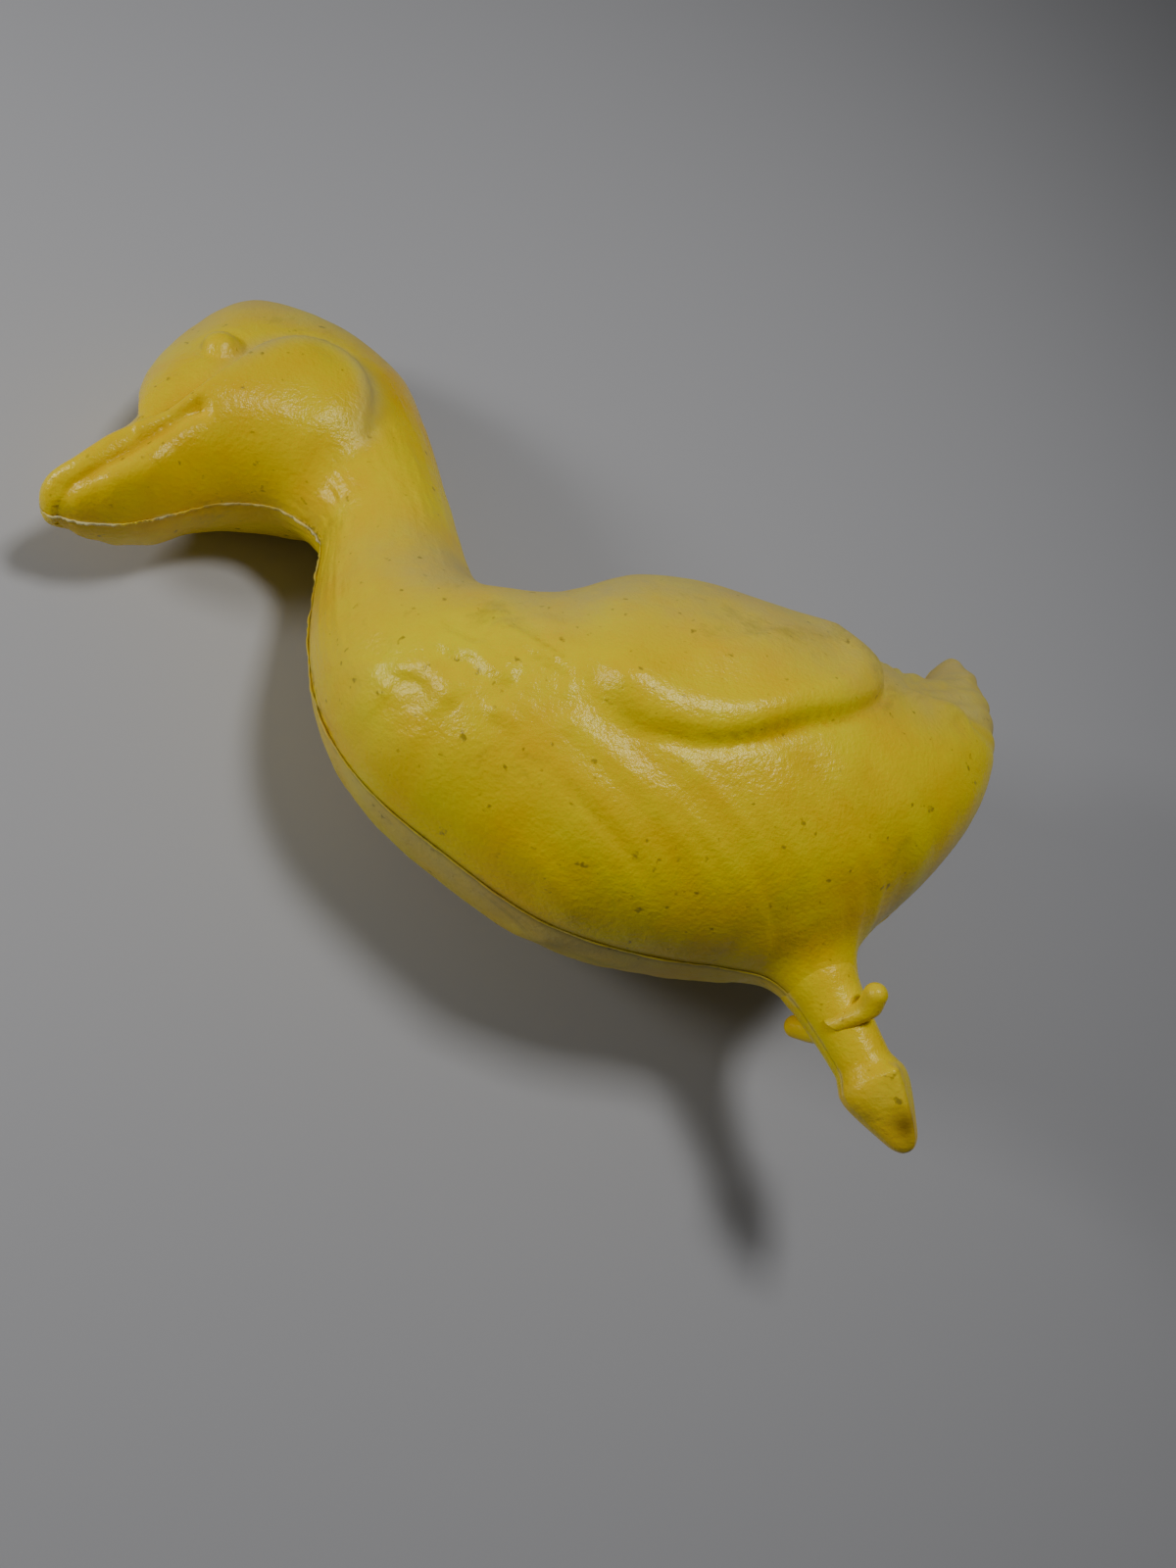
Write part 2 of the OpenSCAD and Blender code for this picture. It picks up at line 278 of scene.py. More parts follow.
def cheek_fold(x, y):
    """The valley along the crease, and the cheek that stands out below it."""
    side, along = line_field(x, y, CREASE)
    below = -side                           # positive on the cheek, negative on the skull
    fade = ease(along * 8) * ease((1 - along) * 3.2)
    reach = np.where(below < 0, 2.6, 1.0)
    valley = 1.1 * ease((0.85 - along) * 2.5) * np.exp(-np.abs(below) / reach)
    from_cheek = np.hypot((x - CHEEK_AT[0]) / 1.3, y - CHEEK_AT[1])
    cheek = (1 - ease((from_cheek - 13) / 20)) * ease((y - 46) / 16)
    return 2.7 * ease((below + 0.3) / 2.5) * cheek - valley * fade


def bill_relief(x, y):
    """The nostril's pit and groove, the ridge above it and the softer ridge below it."""
    side, along = line_field(x, y, NOSTRIL_LINE)
    groove = -1.6 * (1 - 0.4 * along) * np.exp(-(side / 1.5) ** 2) * ease(along * 9)
    pit_at = np.array(NOSTRIL_LINE[0]) - [1.5, 1.3]
    pit = -0.8 * bump(x, y, pit_at, 1.6, 1.6)
    flank_side, flank_along = line_field(x, y, FLANK_RIDGE)
    flank = 0.75 * np.exp(-(flank_side / 2.4) ** 2)
    flank *= ease(flank_along * 2) * ease(4 - 4 * flank_along)
    on_bill = ease((-100 - x) / 8) * ease(along * 5)
    culmen = 1.0 * np.exp(-((side + CULMEN_OFF) / 1.7) ** 2) * on_bill
    return groove + pit + flank + culmen


def head_relief(x, y):
    """Everything on the head: eye, fold, the dent behind the cheek, and the bill."""
    eye = np.hypot(x - EYE_AT[0], y - EYE_AT[1])
    round_eye = 0.4 + 0.6 * ease((eye - EYE_R) / 1.6)
    dent = -0.8 * bump(x, y, HOLLOW_AT, 5.5, 4.5)
    return eye_dome(eye) + cheek_fold(x, y) * round_eye + dent + bill_relief(x, y)


print("eye stands", eye_dome(np.array([0.0])).round(2).tolist(), "mm proud")

# %% [markdown]
# The tail is a fan of stiff feathers that rises behind the rump. The rump's edge is a crease, and
# the fan's ribs spread from one root. A sine of the angle about that root makes even ribs, and a
# little noise in the angle keeps them from looking machined.

# %% Relief of the tail
TAIL_CREASE = [[45, 13.5], [49.5, 12.6], [54, 12.4], [58.5, 13.4], [61.8, 12.2], [63.4, 9.0],
               [63.2, 5.0]]
TAIL_ROOT = np.array([47.0, 15.0])


def tail_relief(x, y):
    """The fan stands up behind a crease: skin above the crease is let in, the rump below it
    stands out, and the fan's feather ribs spread like spokes from the crease's root."""
    side, along = line_field(x, y, TAIL_CREASE)
    fade = ease(along * 6) * ease((1 - along) * 2.5)
    rump = 0.9 * np.exp(-((side + 3.0) / 3.0) ** 2) * fade
    fan = ease((side + 0.2) / 1.2) * ease((x - 46) / 6)
    step = -1.7 * fan * (1 - 0.8 * ease((side - 2) / 12)) * fade
    crease = -0.6 * np.exp(-(side / 0.7) ** 2) * fade
    spoke = np.arctan2(y - TAIL_ROOT[1], x - TAIL_ROOT[0])
    spread = ease((np.hypot(x - TAIL_ROOT[0], y - TAIL_ROOT[1]) - 4) / 8)
    wave = np.sin(spoke * 26 + 1.2 * noise(x / 6, y / 6, 21))
    ribs = 0.30 * fan * spread * ease((y - 4) / 8) * wave
    return rump + step + crease + ribs


print("fan's height", tail_relief(np.array([60.0]), np.array([16.0])).round(2).tolist(), "mm")

# %% [markdown]
# Feathers are suggested, not drawn: tufts on the breast, streaks down the flank, fine lines on
# the neck. Noise that is stretched one way looks like all three, so each uses the same function
# with its own stretch and its own place on the duck.

# %% Relief of the feathers
def feather_relief(x, y, theta, t):
    """Short curved tufts on the breast, long soft streaks down the flank, fine lines along
    the neck: all of them stretched noise, each faded to its own place."""
    breast = np.exp(-(((x + 38) / 20) ** 2 + ((y + 1) / 12) ** 2) ** 2)
    u, v = x * 0.82 - y * 0.57, x * 0.57 + y * 0.82
    tufts = breast * (0.8 * ease((noise(u / 5.5 + 9, v / 3.2, 3) + 0.05) / 0.4)
                      + 0.3 * noise(u / 2.8, v / 1.7, 4))
    flank = ease((-6 - y) / 8) * ease((x + 35) / 20) * ease((62 - x) / 18) * ease((y + 46) / 10)
    streaks = 0.28 * flank * (noise(u / 26, v / 2.6, 5) + 0.6 * noise(u / 18, v / 1.4, 6))
    neck = ease((t - 10.5) / 1.5) * ease((18.5 - t) / 2)
    lines = neck * (0.10 * noise(theta * 13, t * 0.8, 8) + 0.07 * noise(theta * 26, t * 2.2, 9))
    ripple = 0.12 * noise(x / 7, y / 7, 13) + 0.06 * noise(x / 3, y / 3, 14)
    return tufts + streaks + lines + ripple


breast_place = [np.array([v]) for v in (-38.0, -1.0, np.pi / 2, 9.0)]
print("breast feathers stand", feather_relief(*breast_place).round(2).tolist(), "mm proud")

# %% [markdown]
# ## The two half skins
# A half skin is a C-shaped loop carried from the rump to the bill: round the outside, over the
# cut edge, and back along the inner wall. The loop closes on itself, so the piece is a sealed
# solid with a real 2.4 mm wall, and the bill and tail end fill up solid, as they do in a mould.

# %% Half skin
ROWS, AROUND, INNER = 520, 128, 14
WALL = 2.4
SOLID_TAIL, SOLID_BILL = 3.2, 24.5     # stations where the hollow ends
BODY_TO, HEAD_FROM = 12.0, 16.5        # stations where the body's relief ends, the head's starts
SHANK_R = 7.2                          # the leg's radius where the skin meets it


def station_steps(count):
    """Parameters spaced so that rows are evenly far apart on the skin, closer on the head."""
    t = np.linspace(0, len(STATIONS) - 1, 4000)
    rails = catmull_rom(STATIONS, t)
    step = np.linalg.norm(np.diff(rails[:, :4], axis=0), axis=1)
    middle = 0.5 * (t[1:] + t[:-1])
    weight = step * np.where(middle > 17, 1.5, 1.0) + 1e-4
    run = np.concatenate([[0], np.cumsum(weight)])
    return np.interp(np.linspace(0, run[-1], count), run, t)


def arc_steps(count):
    """Angles from back (0) to belly (pi), a little closer together at both ends."""
    s = np.linspace(0, 1, count)
    return np.pi * (s - 0.06 * np.sin(2 * np.pi * s))


def section_points(st, theta, inset=0.0, hollow=1.0):
    """Points of each station's half section: a squarish ellipse between the two rails."""
    back, belly = st[:, None, 0:2], st[:, None, 2:4]
    depth = np.linalg.norm(belly - back, axis=2, keepdims=True)
    way = (belly - back) / depth
    pull = np.minimum(inset, 0.3 * depth)
    back, belly = back + way * pull, belly - way * pull
    q = (1 - np.cos(theta)) / 2 + st[:, 6:7] * np.sin(theta) ** 2
    flat = back + (belly - back) * q[..., None]
    width = np.maximum(0, st[:, 4:5] - inset) * hollow
    out = np.abs(np.sin(theta)) ** (2 / st[:, 5:6]) * width
    return np.concatenate([flat, out[..., None]], axis=2)


def grid_normals(points):
    """Unit normals of a grid of points: the cross product of its two directions, each found
    as the difference between neighbours."""
    du = np.gradient(points, axis=0)
    dv = np.gradient(points, axis=1)
    n = np.cross(dv, du)
    return n / np.maximum(np.linalg.norm(n, axis=2, keepdims=True), 1e-9)


def leg_root(points):
    """How far the skin is drawn out along the leg, in a rounded cone about the leg's line."""
    dx, dy = points[..., 0] - LEG_AT[0], points[..., 1] - LEG_AT[1]
    across = np.hypot(dx * LEG_BACK[0] + dy * LEG_BACK[1], points[..., 2])
    near = ease((12 - np.abs(dx * LEG_WAY[0] + dy * LEG_WAY[1])) / 6)
    off = np.maximum(across - SHANK_R, 0)
    inside = 3.2 * np.clip(SHANK_R - across, 0, 0.6)
    steep, wide = 4.5 * np.exp(-off / 1.7), 3.2 * np.exp(-off / 5.5)
    return near * (inside + steep + wide) * ease((22 - across) / 6)


def half_skin():
    """The left half skin, flat: rows' stations, angles, outer grid with relief, inner grid, and
    the relief's heights.
    """
    t = station_steps(ROWS)
    st = catmull_rom(STATIONS, t)
    theta = arc_steps(AROUND)[None, :]
    base = section_points(st, theta)
    normal = grid_normals(base)
    if normal[ROWS // 3, AROUND // 2, 2] < 0:
        normal = -normal
    normal[:, [0, -1], 2] = 0
    x, y = base[..., 0], base[..., 1]
    tt, th = t[:, None] + 0 * theta, theta + 0 * t[:, None]
    on_head = ease((tt - HEAD_FROM) / 1.5)
    on_body = 1 - ease((tt - BODY_TO) / 1.5)
    height = (wing_relief(x, y) + tail_relief(x, y)) * on_body * ease(th / 0.5)
    height += head_relief(x, y) * on_head
    height += feather_relief(x, y, th, tt) * ease(th / 0.15) * ease((np.pi - th) / 0.15)
    height *= ease(t / 1.0)[:, None] * ease((len(STATIONS) - 1 - t) / 0.8)[:, None]
    outer = base + normal * height[..., None]
    outer[..., :2] += leg_root(outer)[..., None] * LEG_WAY
    outer[:, [0, -1], 2] = 0
    outer[..., 2] = np.maximum(outer[..., 2], 0)
    hollow = (ease(t - SOLID_TAIL) * ease(SOLID_BILL - t))[:, None]
    inner_theta = np.linspace(np.pi, 0, INNER)[None, :]
    inner = section_points(st, inner_theta, WALL, hollow)
    return t, th, outer, inner, height


t_rows, theta_grid, outer_grid, inner_grid, height_grid = half_skin()
print("half skin grid", outer_grid.shape)
print("relief from", height_grid.min().round(2), "to", height_grid.max().round(2), "mm")

# %% [markdown]
# Marks for the finish are kept on the mesh, so that the material can follow the shape: dust and
# fading lie on the back, the crown and the tail, and the flash is pale along the cut edge.

# %% Colour marks
def fade_marks(points, theta, t):
    """How dusty and faded each point is, from 0 to 1: the strongest of five soft patches, on
    the back, the tail, the crown, the base of the neck and the skull's ridge."""
    x, y = points[..., 0], points[..., 1]
    back = ease((1.75 - theta) / 0.8)
    body = back * ease((x + 45) / 12)
    tail = ease((x - 40) / 20) * ease((y - 5) / 14) * 1.3
    crown = ease((1.35 - theta) / 0.8) * ease((t - 17.5) / 2) * ease((22.5 - t) / 2) * 0.8
    base_of_neck = np.exp(-(((x + 44) / 17) ** 2 + ((y - 28) / 13) ** 2))
    side, along = line_field(x, y, CREASE)
    on_ridge = ease((along - 0.25) * 5) * ease((t - 16) / 2)
    ridge = 1.1 * np.exp(-((side + 0.8) / 3.0) ** 2) * on_ridge
    return np.clip(np.maximum.reduce([body, tail, crown, base_of_neck, ridge]), 0, 1)


def edge_marks(theta, t):
    """How pale the rubber is beside the parting line, from 0 to 1: at the throat and bill."""
    return np.exp(-((np.pi - theta) / 0.035) ** 2) * ease((t - 11) / 2) * 0.8


def grime_and_hole_shade_marks(theta, t):
    """Dark dirt caught beside the parting line, from 0 to 1: a thin line under the belly,
    blotches at the throat and breast, and one dark spot under the tip of the bill, which is
    painted shade for the hole there."""
    near = np.pi - theta
    line = 0.6 * np.exp(-(near / 0.02) ** 2) * ease((12.5 - t) / 2)
    throat = ease((t - 10) / 1.5) * ease((17.5 - t) / 1.5)
    blots = ease((noise(theta * 34, t * 11, 41) - 0.05) / 0.35)
    blots *= np.exp(-(near / 0.10) ** 2) * throat
    # painted shade: the dark spot under the bill's tip stands in for the shade inside a hole
    pit = 1.4 * np.exp(-((t - 28.2) / 0.28) ** 2 - (near / 0.22) ** 2)
    return np.clip(np.maximum.reduce([line, 0.9 * blots, pit]), 0, 1)


def belly_dust(theta, t):
    """Dust rubbed into the underside of the right skin, beside the parting line."""
    return 0.95 * np.exp(-((np.pi - theta) / 0.42) ** 2) * ease((13 - t) / 3) * ease((t - 5) / 3)


t_grid = t_rows[:, None] + 0 * theta_grid
fade_grid = fade_marks(outer_grid, theta_grid, t_grid)
edge_grid = edge_marks(theta_grid, t_grid)
grime_and_hole_shade_grid = grime_and_hole_shade_marks(theta_grid, t_grid)
under_grid = np.maximum(fade_grid, belly_dust(theta_grid, t_grid))
warm = 0.22 * ease((t_grid - 14.5) / 3)         # the head's rubber is a little deeper
# painted shade: a deeper yellow wherever the relief dips (creases, grooves, dents), with the
# head's deeper tint added on top
crease_shade_and_head_tint = np.maximum(np.clip(-height_grid / 1.2, 0, 1), warm) * (1 - fade_grid)
print("faded share of the skin", fade_grid.mean().round(2))

# %% [markdown]
# Every rubber piece becomes a mesh in the same way: equal loops of points, one after another,
# with quads between them and a fan over each end. That keeps each piece closed, with all its
# faces outwards. The right half is the left one mirrored, with its faces turned back over.

# %% Meshes from loops
def loft_object(name, loops, marks, mirror=False):
    """A closed mesh through a row of equal loops: quads between the rows and a fan at each
    end. loops is rows x points x 3 in the flat duck, and marks are values for each point."""
    rows, n, _ = loops.shape
    points = loops.reshape(-1, 3).copy()
    if mirror:
        points[:, 2] *= -1
    i = np.arange(rows - 1)[:, None] * n
    j = np.arange(n)[None, :]
    k = (j + 1) % n
    quads = np.stack([i + j, i + k, i + n + k, i + n + j], axis=-1).reshape(-1, 4)
    start, end = len(points), len(points) + 1
    points = np.vstack([points, points[:n].mean(0), points[-n:].mean(0)])
    ring = np.arange(n)
    after = (ring + 1) % n
    last = (rows - 1) * n
    caps = np.concatenate([np.stack([0 * ring + start, after, ring], axis=1),
                           np.stack([0 * ring + end, last + ring, last + after], axis=1)])
    if mirror:
        quads, caps = quads[:, ::-1], caps[:, ::-1]
    placed = lay_down(points)
    placed[:, 2] = np.maximum(placed[:, 2], 0)      # the soft rubber is pressed flat on the floor
    mesh = bpy.data.meshes.new(name)
    mesh.from_pydata(placed.tolist(), [], quads.tolist() + caps.tolist())
    for key, values in marks.items():
        layer = mesh.attributes.new(key, "FLOAT", "POINT")
        ends = [values[0].mean(), values[-1].mean()]
        flat = np.concatenate([values.reshape(-1), ends])
        layer.data.foreach_set("value", flat.astype(np.float32))
    mesh.shade_smooth()
    mesh.update()
    piece = bpy.data.objects.new(name, mesh)
    bpy.context.collection.objects.link(piece)
    return piece


def with_inner(values):
    """Marks for a whole loop: the inner wall has none."""
    return np.concatenate([values, np.zeros((len(values), INNER))], axis=1)


loops = np.concatenate([outer_grid, inner_grid], axis=1)
skin_marks = {"fade": with_inner(fade_grid), "edge": with_inner(edge_grid),
              "hollow": with_inner(crease_shade_and_head_tint), "grime_and_hole_shade": with_inner(grime_and_hole_shade_grid)}
skin_left = loft_object("skin_left", loops, skin_marks)
right_marks = skin_marks | {"fade": with_inner(under_grid)}
skin_right = loft_object("skin_right", loops, right_marks, mirror=True)
print("skin_left has", len(skin_left.data.polygons), "faces")

# %% [markdown]
# The squeaker breathes through a round hole in the right flank. A plain round punch is built on
# the hole's axis and taken out of the right skin; the punch itself is thrown away.

# %% Vent hole
VENT_R, PUNCH_HALF, PUNCH_SIDES = 5.0, 6.0, 64


def punch_hole(skin, centre, axis, radius, half_length):
    """Cuts a round hole through a skin: a many-sided prism on the axis is subtracted."""
    axis = np.asarray(axis, float) / np.linalg.norm(axis)
    across = np.cross(axis, [1.0, 0, 0])
    across /= np.linalg.norm(across)
    other = np.cross(axis, across)
    angle = np.linspace(0, 2 * np.pi, PUNCH_SIDES, endpoint=False)
    ring = radius * (np.cos(angle)[:, None] * across + np.sin(angle)[:, None] * other)
    points = np.vstack([centre + ring - axis * half_length, centre + ring + axis * half_length])
    i = np.arange(PUNCH_SIDES)
    k = (i + 1) % PUNCH_SIDES
    walls = np.stack([i, k, k + PUNCH_SIDES, i + PUNCH_SIDES], axis=1).tolist()
    ends = [i[::-1].tolist(), (i + PUNCH_SIDES).tolist()]
    mesh = bpy.data.meshes.new("punch")
    mesh.from_pydata(lay_down(points).tolist(), [], walls + ends)
    punch = bpy.data.objects.new("punch", mesh)
    bpy.context.collection.objects.link(punch)
    cut = skin.modifiers.new("cut", "BOOLEAN")
    cut.operation, cut.object, cut.solver = "DIFFERENCE", punch, "EXACT"
    ready = skin.evaluated_get(bpy.context.evaluated_depsgraph_get())
    carved = bpy.data.meshes.new_from_object(ready)
    skin.modifiers.clear()
    skin.data = carved
    bpy.data.objects.remove(punch)


before = len(skin_right.data.polygons)
vent_axis = [0, -np.sin(VENT_LEAN), -np.cos(VENT_LEAN)]
punch_hole(skin_right, VENT_AT, vent_axis, VENT_R, PUNCH_HALF)
print("vent hole: faces went from", before, "to", len(skin_right.data.polygons))

# %% [markdown]
# The mould's halves never close quite tight, so a thin lip of rubber, the flash, is left along
# the parting line. It is trimmed roughly, so it comes and goes, and it is worn pale.

# %% Parting flash
def flash_strip(name, edge, way, height, pale):
    """A thin lip along the skin's cut edge: a six-sided bead whose height comes and goes.
    edge is the line it follows, way points outwards, height is in mm and pale from 0 to 1."""
    angle = np.linspace(0, 2 * np.pi, 6, endpoint=False) + np.pi / 6
    out = (0.15 + 0.5 * np.cos(angle) + 0.35) * height[:, None]
    side = 0.34 * np.sin(angle) + 0 * out
    sideways = side[..., None] * np.array([0, 0, 1.0])
    grid = edge[:, None, :] + out[..., None] * way[:, None, :] + sideways
    flat = np.zeros(out.shape)
    return loft_object(name, grid, {"fade": flat + 0.3, "edge": flat + pale[:, None]})


belly_way = outer_grid[:, -1] - outer_grid[:, 0]
belly_way /= np.maximum(np.linalg.norm(belly_way, axis=1, keepdims=True), 1e-6)
still = t_rows * 0
torn = 0.5 + 0.5 * noise(t_rows * 4.3, still, 31) + 0.3 * noise(t_rows * 13, still + 5, 32)
strong = 0.30 + 0.28 * ease((t_rows - 9.0) / 2.5)
bill_end = ease((len(STATIONS) - 1.6 - t_rows) / 0.5)
belly_height = strong * np.clip(torn + 0.25, 0.15, 1.3) * bill_end
flash_rows = (t_rows > 2.0) & (t_rows < len(STATIONS) - 1.4)
pale_rows = 0.15 + 1.2 * ease((t_rows[flash_rows] - 12) / 3)
flash_way, flash_height = belly_way[flash_rows], belly_height[flash_rows]
flash_front = flash_strip("parting_flash_belly", outer_grid[flash_rows, -1], flash_way,
                          flash_height, pale_rows)
flash_back = flash_strip("parting_flash_back", outer_grid[flash_rows, 0], -flash_way,
                         0.5 * flash_height, 0.3 * pale_rows)
print("flash stands", flash_height.max().round(2), "mm proud at most")

# %% [markdown]
# The leg is solid rubber: a round shank that ends in a closed webbed foot, with a shoulder
# and a ridge on each side. Its root starts inside the body, where the skin is drawn out to
# meet it. The far half is the near one mirrored, as on the body.

# %% Leg
LEG_STATIONS = np.array([
    [-6, 8.4, 8.8], [-3, 8.4, 8.8], [0, 8.2, 8.6], [3.5, 7.6, 8.1], [6.5, 6.9, 7.4],
    [10, 6.4, 7.0], [14, 5.9, 6.4], [18, 5.6, 6.1], [20.2, 5.6, 6.0], [22, 6.4, 6.3],
    [23.6, 7.2, 6.8], [25.8, 7.1, 6.4], [29, 5.9, 5.5], [32.5, 4.3, 4.3], [35.5, 2.9, 2.9],
    [37.0, 1.5, 1.5], [37.4, 0.3, 0.3]])
LEG_ROWS, LEG_AROUND = 150, 48


def leg_half():
    """The solid leg's left half: half ovals about the leg's own line, wider by a quarter in a
    narrow ridge on the foot's side, and closed by a flat cut in the middle plane."""
    t = np.linspace(0, len(LEG_STATIONS) - 1, LEG_ROWS)
    st = catmull_rom(LEG_STATIONS, t)
    theta = np.linspace(0, np.pi, LEG_AROUND)[None, :]
    s, fore, wide = st[:, 0:1], st[:, 1:2], st[:, 2:3]
    foot = ease((s - 21) / 3)
    ridge = 1 + 0.24 * foot * np.exp(-((theta - np.pi / 2) / 0.28) ** 2)
    across = -fore * np.cos(theta)
    out = wide * np.sin(theta) ** (1 + 0.25 * foot) * ridge
    flat = LEG_AT + LEG_WAY * s[..., None] + LEG_BACK * across[..., None]
    outer = np.concatenate([flat, out[..., None]], axis=2)
    outer[:, [0, -1], 2] = 0
    back_s = np.linspace(0.9, -0.9, 10)[None, :]
    inside = LEG_AT + LEG_WAY * s[..., None] + LEG_BACK * (fore * back_s)[..., None]
    inner = np.concatenate([inside, 0 * inside[..., :1]], axis=2)
    return np.concatenate([outer, inner], axis=1), theta + 0 * s, s + 0 * theta


leg_loops, leg_theta, leg_s = leg_half()
leg_values = {"fade": 0.2 * ease((leg_s - 20) / 8),
              "edge": 0.7 * np.exp(-(leg_theta / 0.08) ** 2),
              "stain": 0.85 * bump(leg_s, leg_theta, (33, 1.3), 2.6, 0.5)}
inside = np.zeros((LEG_ROWS, leg_loops.shape[1] - LEG_AROUND))
leg_marks = {key: np.concatenate([v, inside], axis=1) for key, v in leg_values.items()}
leg_left = loft_object("leg_left_half", leg_loops, leg_marks)
leg_right = loft_object("leg_right_half", leg_loops, leg_marks, mirror=True)
print("leg reaches", LEG_STATIONS[-1][0], "mm below its root")

# %% [markdown]
# Two thin hind toes stand off the shank, one on each side. Each is one tube with a round end,
# and its root is sunk in the shank so that no gap opens when the leg bends.

# %% Hind toes
def hind_toe(name, root, tip):
    """A tapered finger of soft rubber from the shank's side to a rounded tip: a tube along a
    slightly bent line, closed by a half ball."""
    root, tip = np.array(root, float), np.array(tip, float)
    sag = np.array([1.2, -0.6, 0.0])
    line = [root, root * 0.67 + tip * 0.33 + sag * 0.6, root * 0.33 + tip * 0.67 + sag, tip]
    t = np.linspace(0, 3, 40)
    mid = catmull_rom(line, t)
    radius = 2.5 - 0.2 * t / 3
    cap = np.linspace(0, np.pi / 2, 10)[1:]
    way = (mid[-1] - mid[-2]) / np.linalg.norm(mid[-1] - mid[-2])
    mid = np.vstack([mid, mid[-1] + way * (radius[-1] * np.sin(cap))[:, None]])
    radius = np.append(radius, radius[-1] * np.cos(cap) + 0.01)
    across = np.cross(way, [0, 0, 1.0])
    across /= np.linalg.norm(across)
    up = np.cross(across, way)
    angle = np.linspace(0, 2 * np.pi, 28, endpoint=False)
    ring = np.cos(angle)[:, None] * across + np.sin(angle)[:, None] * up
    grid = mid[:, None, :] + radius[:, None, None] * ring[None]
    flat = np.zeros(grid.shape[:2])
    return loft_object(name, grid, {"fade": flat + 0.1})


toe_left = hind_toe("hind_toe_left", (37.2, -49.6, 3.2), (41.6, -46.6, 11.5))
toe_right = hind_toe("hind_toe_right", (39.8, -49.0, -2.5), (37.2, -45.4, -12.0))
print("each toe has", len(toe_left.data.polygons), "faces")

# %% [markdown]
# ## Finishes
# A finish is a small graph of nodes. Three helpers keep it readable: one turns a colour code into
# the linear values that a socket takes, one adds a node and links it up in a single call, and
# one starts an empty material.

# %% Colours, nodes and empty materials
def srgb(code):
    """An sRGB hex colour as the linear RGBA that a shader socket takes."""
    c = np.array([int(code[i:i + 2], 16) for i in (1, 3, 5)]) / 255
    linear = np.where(c <= 0.04045, c / 12.92, ((c + 0.055) / 1.055) ** 2.4)
    return (*linear.tolist(), 1.0)


def add(tree, kind, settings=None, **links):
    """Adds one node, gives it its settings, and links or sets its inputs by name."""
    node = tree.nodes.new(kind)
    for key, value in (settings or {}).items():
        setattr(node, key, value)
    for key, value in links.items():
        by_number = key[0] == "i" and key[1:].isdigit()
        socket = node.inputs[int(key[1:]) if by_number else key.replace("_", " ")]
        if isinstance(value, bpy.types.NodeSocket):
            tree.links.new(value, socket)
        else:
            socket.default_value = value
    return node


def new_material(name):
    """An empty material, and the tree that its nodes go into."""
    material = bpy.data.materials.new(name)
    material.use_nodes = True
    material.node_tree.nodes.clear()
    return material, material.node_tree


print("#FFD000 is linear", np.round(srgb("#FFD000"), 3).tolist())

# %% [markdown]
# Soft vinyl rubber is semi-gloss, with a leathery grain about a millimetre across. Old rubber is
# never one colour: it is chalky where dust and sun reach it, scuffed and specked elsewhere, and
# pale along its torn flash. The creases and dents also get a deeper yellow, which is painted
# shade, and a dark spot under the bill's tip is painted shade for a hole. Each of those is one
# colour laid over the last, placed by a mark on the mesh or by noise. Dust also makes the rubber
# rougher, so it shines less there. The noise reads the piece's own space in metres, so a pattern
# that is so many millimetres across has 1000 divided by that as its scale.

# %% Patterns and layers of the rubber
RUBBER_NOISE = {                       # scale, detail, roughness, distortion
    "tone": (55.0, 4.0, 0.6, 0.0),     # slow changes of yellow, 18 mm across
    "patch": (90.0, 5.0, 0.7, 0.0),    # where dust clings, 11 mm
    "scuff": (38.0, 8.0, 0.72, 0.6),   # rubbed smears, 26 mm
    "speck": (420.0, 2.0, 0.5, 0.0),   # specks of dirt, 2.4 mm
    "worn": (160.0, 3.0, 0.5, 0.0),    # breaks in the pale flash, 6 mm
    "grain": (1000.0, 3.0, 0.6, 0.0)}  # the leathery grain, 1 mm
RUBBER_SPREAD = {                      # noise from, to, and what those become
    "patch": (0.3, 0.7, 0.45, 1.0),
    "scuff": (0.57, 0.70, 0.0, 0.45),
    "speck": (0.68, 0.76, 0.0, 0.6),
    "worn": (0.4, 0.62, 0.0, 0.7)}
RUBBER_LAYERS = (                      # colour, where it lies, and its strength or a noise for it
    ("#C88C00", "hollow", 0.5),        # painted shade: deeper yellow in the creases and dents, with the head's tint
    ("#CDBC78", "dust", 0.95),         # chalky dust
    ("#857A3A", "scuff", 1.0),         # smears
    ("#6E6136", "speck", 1.0),         # specks
    ("#E6DCA0", "edge", "worn"),       # pale, torn flash
    ("#3A3012", "grime_and_hole_shade", 0.8),         # dirt in the parting line, and painted shade for the hole under the bill
    ("#8A6A10", "stain", 1.0))         # a brown stain on the foot
print(len(RUBBER_LAYERS), "colours are laid over the yellow")


